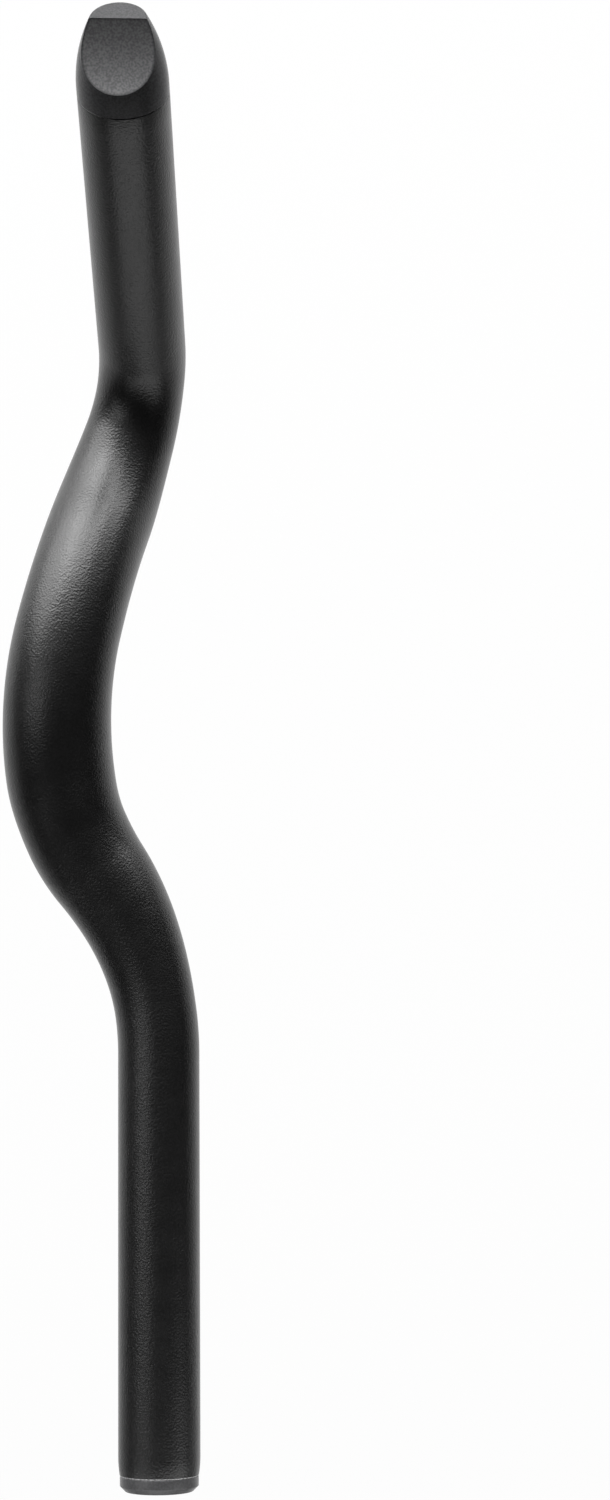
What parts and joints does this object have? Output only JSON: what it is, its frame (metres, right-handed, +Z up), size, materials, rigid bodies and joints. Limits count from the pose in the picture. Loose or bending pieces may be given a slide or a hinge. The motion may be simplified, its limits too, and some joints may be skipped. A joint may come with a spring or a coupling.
{
  "type": "aero handlebar extension",
  "caption": "Bent and swollen black tube for an aero handlebar, with a straight clamp section, a raised grip, a scooped nose plug at the front and a flat cap at the rear.",
  "frame": {"origin": "on the clamp axis, where the straight clamp section ends and the bends begin", "axes": "+Y forward along the clamp section, +Z up, +X inboard, towards the middle of the bicycle"},
  "size_m": [0.0531, 0.3828, 0.1096],
  "materials": {
    "tube_black": "matte black with a fine grain, over moulded carbon composite",
    "front_plug_black": "matte black moulded plastic",
    "rear_plug_black": "satin black moulded plastic"
  },
  "bodies": {
    "root": {"extension_tube": "tube_black", "front_plug": "front_plug_black", "rear_plug": "rear_plug_black"}
  },
  "joints": []
}
